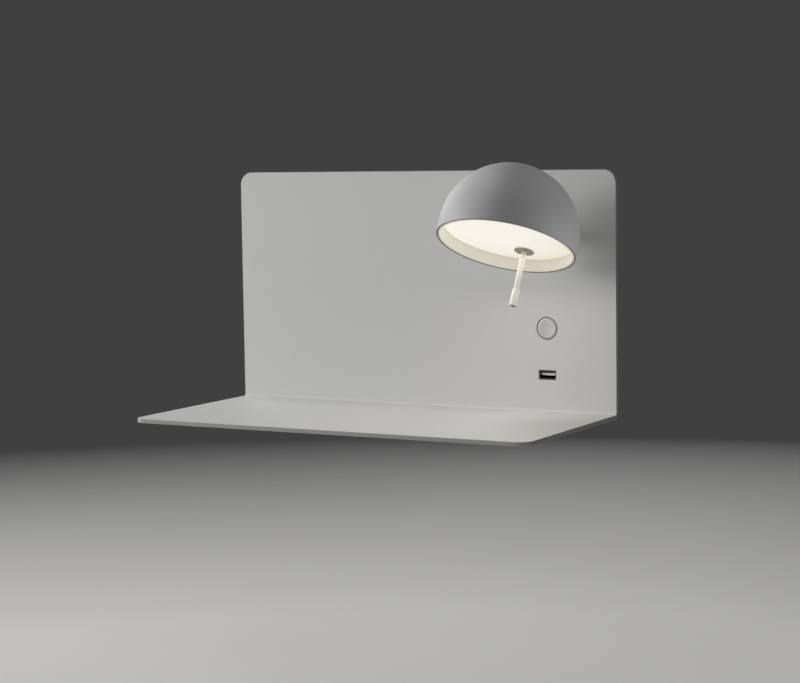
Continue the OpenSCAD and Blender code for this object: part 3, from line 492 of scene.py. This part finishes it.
def moulded(name, colour, rough=0.42, grain=0.5 * mm, depth=0.008 * mm):
    """A moulded plastic with a fine eroded grain and a faintly uneven colour."""
    plastic = Finish(name, {"Specular IOR Level": 0.5})
    spot = plastic.place()
    flow, fine = plastic.grain(spot, 9 * mm, 3), plastic.grain(spot, grain, 2)
    plastic.set({
        "Base Color": plastic.mix(flow * 0.7 + fine * 0.3, scaled(colour, 0.93), colour),
        "Roughness": rough + (flow - 0.5) * 0.1 + (fine - 0.5) * 0.1,
        "Normal": plastic.relief(fine, depth),
    })
    return plastic.material


black_plastic = moulded("black_plastic", tone(34, 34, 35), 0.5)
dress(black_plastic, "cable_grommet")

# ---- Supply terminal, earth tag and LED driver ----
# The mains wires end in a three-pole polyamide block beside a brass earth tag. The driver is a
# glued white case with two ears, which two screws hold on the tray's floor.
dress(moulded("terminal_plastic", tone(228, 222, 205), 0.45), "terminal_block")
dress(moulded("driver_plastic", tone(226, 227, 226), 0.4, 0.8 * mm, 0.02 * mm), "led_driver")
brass = Finish("brass", {"Metallic": 1.0})
spot = brass.place()
stain, scuff = brass.grain(spot, 3 * mm, 3), brass.grain(spot, 0.25 * mm, 2)
brass.set({
    "Base Color": brass.mix(stain, tone(186, 150, 84), tone(222, 190, 122)),
    "Roughness": 0.28 + stain * 0.2 + scuff * 0.08,
    "Normal": brass.relief(scuff, 0.006 * mm),
})
dress(brass.material, "earth_terminal")

# ---- Charger board ----
# A small switching supply on a green glass-fibre board, carried by two zinc spacers. The copper
# tracks show through the varnish as lighter lanes, and the socket is soldered to its edge.
lacquer = Finish("board_green", {"Specular IOR Level": 0.6, "Coat Weight": 0.25, "Coat Roughness": 0.15})
spot = lacquer.place()
lanes = lacquer.node("ShaderNodeTexBrick", {"offset": 0.37, "squash": 0.6}, {
    "Vector": lacquer.place(turn=(pi / 2, 0, 0)), "Scale": 1 / (14 * mm),
    "Color1": tone(24, 92, 52), "Color2": tone(30, 104, 60),
    "Mortar": tone(60, 140, 84), "Mortar Size": 0.04, "Mortar Smooth": 0.1})
weave = lacquer.grain(spot, 0.4 * mm, 1)
lacquer.set({
    "Base Color": lacquer.mix(weave * 0.25, lanes, tone(14, 66, 36)),
    "Roughness": 0.3 + weave * 0.15,
    "Normal": lacquer.relief(weave, 0.006 * mm),
})
dress(lacquer.material, "usb_board")
winding = Finish("winding", {"Specular IOR Level": 0.5})
wraps = winding.node("ShaderNodeTexWave", {"wave_type": "BANDS", "bands_direction": "Z"}, {
    "Vector": winding.place(), "Scale": 1 / (1.6 * mm), "Distortion": 0.4, "Detail": 1.0})
winding.set({
    "Base Color": winding.mix(wraps, tone(120, 84, 30), tone(214, 166, 74)),
    "Roughness": 0.35 + wraps * 0.15,
    "Normal": winding.relief(wraps, 0.06 * mm),
})
dress(winding.material, "supply_parts")
dress(zinc.material, "board_spacers")

# ---- Charging socket ----
# A stamped and nickel-plated shell with spring windows, a pale moulded tongue in its upper half
# and four gilt contacts on the tongue's underside. It stands just behind the plate's face.
nickel = Finish("socket_steel", {"Metallic": 1.0})
spot = nickel.place()
shadow_depth = 4 * mm
# Painted shade inside the socket: from about 1 mm to 2 mm behind the plate's face the shell darkens to near
# black.
inside = nickel.step((nickel.part(spot, "Y") - front_y) * (1 / shadow_depth), 0.2, 0.45)
draw = nickel.grain(nickel.place(stretch=(1, 12, 1)), 0.35 * mm, 2)
haze = nickel.grain(spot, 2 * mm, 2)
mouth_tone = nickel.mix(draw, tone(128, 124, 117), tone(160, 156, 148))
nickel.set({
    "Base Color": nickel.mix(inside, mouth_tone, tone(44, 42, 40)),
    "Roughness": 0.28 + haze * 0.15 + draw * 0.08,
    "Normal": nickel.relief(draw, 0.008 * mm),
})
usb_mouth = softened("usb_shell", "usb_mouth", 0.12 * mm, 50)
fit(usb_mouth, nickel.material, "base", "socket_steel", "usb_shell")
dress(moulded("socket_plastic", tone(232, 230, 226), 0.4, 0.3 * mm, 0.004 * mm), "usb_tongue")
gilt = Finish("gold_plate", {"Metallic": 1.0})
rub = gilt.grain(gilt.place(), 0.4 * mm, 3)
gilt.set({
    "Base Color": gilt.mix(rub, tone(205, 160, 70), tone(240, 205, 120)),
    "Roughness": 0.2 + rub * 0.15,
})
dress(gilt.material, "usb_contacts")

# ---- Push button ----
# A turned aluminium cap, coated like the plate, that slides in a black guide with an even gap all
# round. Its face is slightly hollow inside a chamfered rim, and its post works the switch behind.


def loop(points):
    """A profile given in millimetres, in metres."""
    return [(r * mm, h * mm) for r, h in points]


def rounded(profile, width, steps=4):
    """The profile with each sharp corner replaced by an arc whose tangents are width long."""
    done = [profile[0]]
    for before, corner, after in zip(profile, profile[1:], profile[2:]):
        a = Vector(before) - Vector(corner)
        b = Vector(after) - Vector(corner)
        if a.angle(b) > radians(150):
            done.append(corner)
            continue
        reach = min(width, a.length * 0.45, b.length * 0.45)
        start, stop = Vector(corner) + a.normalized() * reach, Vector(corner) + b.normalized() * reach
        for i in range(steps + 1):
            t = i / steps
            done.append(tuple(start * (1 - t) ** 2 + Vector(corner) * (2 * t * (1 - t)) + stop * t ** 2))
    return done + [profile[-1]]


def turned(name, profile, steps=96):
    """Spins a profile of (radius, height) points about Z into a closed solid."""
    clear()
    r, h = profile[0]
    bpy.ops.mesh.primitive_plane_add(size=0.1 * mm, location=(r, 0, h))
    piece = named(name)
    settle(piece)
    bpy.context.tool_settings.mesh_select_mode = (True, False, False)
    edit(piece)
    bpy.ops.mesh.select_all(action="SELECT")
    bpy.ops.mesh.merge(type="CENTER")
    for (r0, h0), (r1, h1) in zip(profile, profile[1:]):
        bpy.ops.mesh.extrude_vertices_move(TRANSFORM_OT_translate={"value": (r1 - r0, 0, h1 - h0)})
    bpy.ops.mesh.select_all(action="SELECT")
    bpy.ops.mesh.spin(steps=steps, angle=2 * pi, center=(0, 0, 0), axis=(0, 0, 1))
    bpy.ops.mesh.select_all(action="SELECT")
    bpy.ops.mesh.remove_doubles(threshold=0.001 * mm)
    bpy.ops.mesh.normals_make_consistent(inside=False)
    bpy.ops.object.mode_set(mode="OBJECT")
    bpy.ops.object.shade_smooth_by_angle(angle=smooth_below)
    return piece


def flat_shading(piece):
    """Lets large flat faces keep their own shading beside rounded edges."""
    choose(piece)
    bpy.ops.object.shade_smooth()
    work(piece, "WEIGHTED_NORMAL", mode="FACE_AREA", weight=80)


to_wall = Matrix.Rotation(-pi / 2, 4, "X")
hollow_r, hollow_depth, face_steps = 6.3, 0.4, 12
button_outline = [(hollow_r * i / face_steps, 0.1 - hollow_depth * (i / face_steps) ** 2)
                  for i in range(face_steps + 1)]
button_outline += [(6.8, -0.3), (7.9, 0.8), (7.9, 5.1), (8.8, 5.1), (8.8, 6.6), (6.4, 6.6),
                   (6.4, 1.3), (2.3, 1.3), (2.3, 11.0), (0, 11.0)]
button_face = turned("button_face", rounded(loop(button_outline), 0.25 * mm, 3), 128)
flat_shading(button_face)
settle(button_face, Matrix.Translation((column, front_y, button_z)) @ to_wall)
fit(button_face, powder_coat("button_coat", tone(206, 205, 202), 0.5), "button", "button_coat", "button_cap")
dress(black_plastic, "button_guide", "switch_body")
dress(moulded("plunger_plastic", tone(176, 44, 38), 0.4), "switch_plunger")
spring = Finish("spring_steel", {"Metallic": 1.0})
wire = spring.grain(spring.place(), 0.5 * mm, 2)
spring.set({
    "Base Color": spring.mix(wire, tone(120, 122, 126), tone(172, 174, 178)),
    "Roughness": 0.25 + wire * 0.2,
})
dress(spring.material, "button_spring")

# ---- Stem ----
# A turned steel tube with a collar, screwed through plate and tray with a thin nut behind, and
# coated with the plate. The lamp's lead runs in its bore, and its front end is a bare spigot.
stem_place = Matrix.Translation((column, front_y, stem_z)) @ to_wall
stem_coat = powder_coat("stem_coat", tone(212, 212, 211), 0.5)
collar_outline = [(5.1, 0), (11, 0), (11, -2), (10, -3), (5.1, -3), (5.1, 0)]
stem_rosette = turned("stem_rosette", rounded(loop(collar_outline), 0.3 * mm), 96)
flat_shading(stem_rosette)
settle(stem_rosette, stem_place)
fit(stem_rosette, stem_coat, "base", "stem_coat", "stem_collar")
thread_pitch, thread_turns = 0.9, 14
stem_thread = []
for turn in range(thread_turns):
    stem_thread += [(4.98, -0.3 + thread_pitch * turn), (4.55, 0.15 + thread_pitch * turn)]
tube_outline = [(2.6, -14.2), (2.4, -14.2), (2.4, -23.7), (3.6, -23.7), (3.6, -14.2), (5.5, -14.2),
                (5.5, -3), (5, -3)]
tube_outline += stem_thread + [(4.9, 13.2), (4.5, 13.7), (2.6, 13.7), (2.6, -14.2)]
stem_pipe = turned("stem_pipe", rounded(loop(tube_outline), 0.12 * mm, 2), 72)
settle(stem_pipe, stem_place)
fit(stem_pipe, stem_coat, "base", "stem_coat", "stem_tube")
dress(zinc.material, "stem_washer", "stem_nut")

# ---- Leads ----
# Stranded wires in smooth PVC, soldered or clamped at both ends: blue for the charger board, brown
# for the switch, and white through the stem to the lamp, where a cream one carries on in the head.
for node, name, colour in (("usb_leads", "lead_blue", tone(40, 82, 160)),
                           ("switch_leads", "lead_brown", tone(112, 66, 38)),
                           ("lamp_lead", "lead_white", tone(224, 223, 218)),
                           ("head_lead", "lead_cream", tone(222, 219, 210))):
    dress(moulded(name, colour, 0.35, 1.5 * mm, 0.02 * mm), node)

# ---- Swivel hub ----
# A forked hub, turned from steel and satin plated, that turns on the stem's spigot between a dark
# friction washer and a slotted nut. Brass washers lie between its bosses and the tilt bracket.


def satin_metal(name, dark, light, rough, size, stretch, centre=(0, 0, 0), turn=(0, 0, 0)):
    """A worked metal whose marks are drawn out along one axis."""
    metal = Finish(name, {"Metallic": 1.0})
    marks = metal.grain(metal.place(centre, turn, stretch), size, 3)
    haze = metal.grain(metal.place(), 4 * mm, 2)
    metal.set({
        "Base Color": metal.mix(marks * 0.6 + haze * 0.4, dark, light),
        "Roughness": rough + marks * 0.12 + haze * 0.1,
        "Normal": metal.relief(marks, 0.01 * mm),
    })
    return metal.material


hub_steel = satin_metal("hub_steel", tone(150, 152, 155), tone(198, 200, 202), 0.28, 0.3 * mm, (14, 1, 14))
hub = softened("swivel_hub", "fork_hub", 0.3 * mm)
fit(hub, hub_steel, "swivel", "hub_steel", "swivel_hub")
dress(black_plastic, "swivel_washer")
dress(zinc.material, "swivel_nut")
dress(brass.material, "tilt_washers")

# ---- Tilt bracket ----
# A strip of zinc-plated steel, bent up into two lugs and screwed to the heat plate with the
# handle's end. A socket-head pin through lugs and fork, with its nut, sets the friction.
rest_tilt, rest_swivel = radians(25), radians(1.4)
pin_y, pin_off, pin_up = -58.9 * mm, 29.7 * mm, 24.1 * mm
head_turn = (-rest_tilt, rest_swivel, 0)
to_head = (Matrix.Translation((column, pin_y, stem_z)) @ Euler(head_turn).to_matrix().to_4x4()
           @ Matrix.Translation((0, -pin_off, -pin_up)))
rim_middle = tuple(to_head @ Vector((0, 0, 0)))
lugs = softened("tilt_bracket", "tilt_lugs", 0.2 * mm)
fit(lugs, galvanised.material, "head", "bracket_steel", "tilt_bracket")
dress(zinc.material, "bracket_screws", "tilt_pin", "tilt_nut", "rod_nut", "shade_screws")

# ---- Heat plate and light board ----
# A sheet aluminium disc, brushed in one direction, with the white light board on its face. The
# emitters are small square packages under yellow phosphor.
heat_aluminium = satin_metal("heat_aluminium", tone(170, 172, 175), tone(214, 216, 218), 0.32, 0.25 * mm,
                             (30, 1, 1), rim_middle, head_turn)
dress(heat_aluminium, "heat_plate")
dress(moulded("led_white", tone(236, 236, 232), 0.3, 0.4 * mm, 0.004 * mm), "led_board")
phosphor = Finish("led_phosphor", {"Emission Strength": 0.6})
sift = phosphor.grain(phosphor.place(), 0.5 * mm, 3)
amber = phosphor.mix(sift, tone(240, 196, 70), tone(250, 222, 120))
phosphor.set({"Base Color": amber, "Roughness": 0.4 + sift * 0.2, "Emission Color": amber})
dress(phosphor.material, "led_chips")

# ---- Shade ----
# A spun aluminium hemisphere on a short straight skirt, 100 mm across and 1.5 mm thick, coated
# light grey. A milled slot at the back lets the stem through, and three lugs inside carry the head.
outer_r, inner_r, skirt_h, bow_steps = 50, 48.5, 10, 40
bow = [i * pi / 2 / bow_steps for i in range(bow_steps)]
dome_outline = [(48.75, 0), (49.7, 0), (49.92, 0.1), (outer_r, 0.35)]
dome_outline += [(outer_r * cos(a), skirt_h + outer_r * sin(a)) for a in bow]
dome_outline += [(0, skirt_h + outer_r), (0, skirt_h + inner_r)]
dome_outline += [(inner_r * cos(a), skirt_h + inner_r * sin(a)) for a in reversed(bow)]
dome_outline += [(inner_r, 0.25), (48.75, 0)]
dome = turned("dome", loop(dome_outline), 160)

# The slot: the stem's clearance hole, swept about the tilt pin from one end of the tilt to the other.
slot_r, slot_w, slot_reach, slot_sweep = 7.2 * mm, 14.39 * mm, 50 * mm, 65
pivot = Vector((0, pin_off, pin_up))
slot_tools = []
for tilt in (0, slot_sweep):
    clear()
    bpy.ops.mesh.primitive_cylinder_add(vertices=64, radius=slot_r, depth=slot_reach,
                                        rotation=(pi / 2, 0, 0), location=(0, slot_reach / 2, 0))
    tool = named("slot_end")
    settle(tool)
    settle(tool, Matrix.Translation(pivot) @ Matrix.Rotation(radians(tilt), 4, "X"))
    slot_tools.append(tool)
clear()
bpy.ops.mesh.primitive_plane_add(size=1, location=(0, slot_reach / 2, 0))
tool = named("slot_middle")
tool.scale = (slot_w, slot_reach, 1)
settle(tool)
edit(tool)
bpy.ops.mesh.select_all(action="SELECT")
bpy.ops.mesh.spin(steps=26, angle=radians(-slot_sweep), center=(0, 0, 0), axis=(1, 0, 0))
bpy.ops.mesh.select_all(action="SELECT")
bpy.ops.mesh.normals_make_consistent(inside=False)
bpy.ops.object.mode_set(mode="OBJECT")
settle(tool, Matrix.Translation(pivot))
slot_tools.append(tool)
cut(dome, *slot_tools)

# The lugs: small blocks with a screw hole, a third of a turn apart, welded to the shade's inside.
lug_place, lug_size, lug_corner = (44.6 * mm, 0, 18.4 * mm), (8 * mm, 9 * mm, 2.4 * mm), 0.5 * mm
lug_bore_r, lug_bore_long = 1.6 * mm, 6 * mm
clear()
bpy.ops.mesh.primitive_cube_add(size=1, location=lug_place, scale=lug_size)
lug = named("lug")
settle(lug)
work(lug, "BEVEL", width=lug_corner, segments=3, limit_method="ANGLE")
clear()
bpy.ops.mesh.primitive_cylinder_add(vertices=32, radius=lug_bore_r, depth=lug_bore_long, location=lug_place)
cut(lug, named("lug_bore"))
settle(lug, Matrix.Rotation(-pi / 2, 4, "Z"))
edit(lug)
bpy.ops.mesh.select_all(action="SELECT")
for _ in range(2):
    bpy.ops.mesh.duplicate()
    bpy.ops.transform.rotate(value=radians(120), orient_axis="Z", orient_type="GLOBAL",
                             center_override=(0, 0, 0))
bpy.ops.object.mode_set(mode="OBJECT")
work(dome, "BOOLEAN", operation="UNION", solver="EXACT", object=lug)
bpy.data.objects.remove(lug)
edit(dome)
bpy.ops.mesh.select_all(action="SELECT")
bpy.ops.mesh.remove_doubles(threshold=hair)
bpy.ops.mesh.dissolve_degenerate(threshold=hair)
bpy.ops.object.mode_set(mode="OBJECT")
bpy.ops.object.shade_smooth_by_angle(angle=smooth_below)
fit(dome, powder_coat("shade_coat", tone(177, 177, 178), 0.55), "head", "shade_coat", "shade")
# The rim's lip gets a darker tone of its own: painted shade on the edge that faces down, away from the
# lights.
finish_part(dome, powder_coat("painted_lip_shade", tone(138, 137, 130), 0.5), lambda p: p.z < 0.3 * mm)
settle(dome, to_head)

# ---- Skirt ring ----
# A cream polycarbonate ring inside the shade's rim: it hides the light board's edge and holds the
# diffuser 9 mm up. The light that reaches it from the lit disc is painted on as a glow of its own,
# brightest at its slightly rounded mouth.
ring_outline = [(46.8, 0.3), (48.3, 0.3), (48.3, 10), (48.0, 15.2), (47.4, 15.2), (47.4, 9.1),
                (46.8, 9.1), (46.8, 0.3)]
skirt = turned("skirt_ring", rounded(loop(ring_outline), 0.4 * mm), 160)
flat_shading(skirt)


def lit_cream(name, glow):
    """The ring's plastic with the light that reaches it from the disc, as a glow of its own."""
    cream = Finish(name, {
        "Specular IOR Level": 0.12, "Emission Color": (1.0, 0.935, 0.80, 1), "Emission Strength": glow})
    spot = cream.place(rim_middle, head_turn)
    milk, fine = cream.grain(spot, 14 * mm, 3), cream.grain(spot, 0.4 * mm, 2)
    cream.set({
        "Base Color": cream.mix(milk * 0.7 + fine * 0.3, tone(100, 98, 92), tone(107, 105, 99)),
        "Roughness": 0.6 + (fine - 0.5) * 0.1,
        "Normal": cream.relief(fine, 0.004 * mm),
    })
    return cream.material


fit(skirt, lit_cream("cream_plastic", 0.455), "head", "cream_plastic", "diffuser_frame")
# The mouth gets a stronger painted glow: a painted highlight where its edge catches the disc's light.
finish_part(skirt, lit_cream("painted_mouth_glow", 0.6), lambda p: p.z < 0.5 * mm)
settle(skirt, to_head)

# ---- Diffuser ----
# A 2 mm opal acrylic disc with a hole off its centre for the handle. Lit from behind it is almost
# evenly white, a little warmer and weaker towards its edge.
disc_outline = [(0, 9.1), (47.3, 9.1), (47.3, 11.1), (0, 11.1)]
disc = turned("opal_disc", rounded(loop(disc_outline), 0.15 * mm), 160)
handle_hole_r, disc_middle_z = 4.5 * mm, 10 * mm
clear()
bpy.ops.mesh.primitive_cylinder_add(vertices=64, radius=handle_hole_r, depth=through,
                                    location=(0, pin_off, disc_middle_z))
hole = named("hole")
settle(hole)
cut(disc, hole)
flat_shading(disc)
settle(disc, to_head)
glow_off, glow_reach = 8 * mm, 60 * mm
opal = Finish("opal", {"Emission Strength": 0.75, "Specular IOR Level": 0.4})
spot = opal.place(rim_middle, head_turn)
across, along = opal.part(spot, "X") + glow_off, opal.part(spot, "Y") + glow_off
from_glow = (across ** 2 + along ** 2) ** 0.5 / glow_reach
mist = opal.grain(spot, 16 * mm, 2)
glow = opal.ramp(from_glow + (mist - 0.5) * 0.05, (0.3, (1.0, 0.965, 0.885, 1)), (0.7, (0.94, 0.90, 0.82, 1)),
                 (0.95, (0.81, 0.77, 0.62, 1)))
opal.set({
    "Base Color": opal.mix(mist, tone(150, 148, 142), tone(158, 156, 150)),
    "Roughness": 0.38 + mist * 0.08,
    "Emission Color": glow,
})
fit(disc, opal.material, "head", "opal", "diffuser")
# The light that falls out of the head comes from a disc of light just under the acrylic.
light_w, light_z, warm_white = 90 * mm, 8.8 * mm, (1.0, 0.92, 0.78)
lamp_light = soft_panel("lamp_light", to_head @ Vector((0, 0, light_z)), to_head @ Vector((0, 0, -1)),
                        light_w, light_w, 0.045, warm_white, shape="DISK")
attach(lamp_light, "head")

# ---- Centre cap ----
# A small turned steel bush, brushed in rings, that trims the diffuser's hole and lets the rod
# through with play all round, so the handle can't rub the acrylic.
to_rod = to_head @ Matrix.Translation((0, pin_off, 0))
cap_middle = tuple(to_head @ Vector((0, pin_off, 8 * mm)))
cap_outline = [(3, 8.0), (7.0, 8.0), (7.5, 8.5), (7.5, 9.1), (4.4, 9.1), (4.4, 12.3), (3, 12.3), (3, 8.0)]
cap = turned("rod_bush", rounded(loop(cap_outline), 0.18 * mm, 3), 96)
flat_shading(cap)
settle(cap, to_rod)
bush_metal = Finish("cap_metal", {"Metallic": 1.0})
spot = bush_metal.place(cap_middle, head_turn)
rings = bush_metal.node("ShaderNodeTexWave", {"wave_type": "RINGS", "rings_direction": "Z"}, {
    "Vector": spot, "Scale": 1 / (5 * mm), "Distortion": 0.3, "Detail": 1.0})
smear = bush_metal.grain(spot, 2 * mm, 2)
bush_metal.set({
    "Base Color": bush_metal.mix(rings * 0.5 + smear * 0.5, tone(160, 158, 147), tone(190, 188, 177)),
    "Roughness": 0.3 + smear * 0.12 + rings * 0.06,
    "Normal": bush_metal.relief(rings, 0.006 * mm),
})
fit(cap, bush_metal.material, "head", "cap_metal", "centre_cap")

# ---- Handle ----
# A 4.2 mm steel rod, coated cream, screwed up through the heat plate and bracket. A slightly
# thicker sleeve pressed on its lower end is what the hand takes to aim the light.
handle_coat = powder_coat("handle_coat", tone(195, 193, 187), 0.42, 0.5)
screw_pitch, screw_turns = 0.6, 8
screw_thread = []
for turn in range(screw_turns):
    screw_thread += [(1.48, 15.6 + screw_pitch * turn), (1.22, 15.9 + screw_pitch * turn)]
rod_outline = [(0, -28.9), (2.1, -28.9), (2.1, 15.2), (1.45, 15.2)]
rod_outline += screw_thread + [(1.35, 20.5), (1.1, 20.9), (0, 20.9)]
rod = turned("handle_stick", rounded(loop(rod_outline), 0.08 * mm, 2), 48)
settle(rod, to_rod)
fit(rod, handle_coat, "head", "handle_coat", "handle_rod")
grip_end = -33.1
grip_outline = [(0, grip_end), (2.2, grip_end), (2.2, -33.4), (2.5, -33.4), (2.75, -33.15), (2.75, -21.2),
                (2.45, -20.9), (2.12, -20.9), (2.12, -29.0), (0, -29.0)]
grip = turned("handle_sleeve", loop(grip_outline), 64)
fit(grip, powder_coat("grip_coat", tone(214, 214, 208), 0.4, 0.5), "head", "handle_coat", "handle_grip")
finish_part(grip, bush_metal.material, lambda p: near(p.z, grip_end * mm))
settle(grip, to_rod)
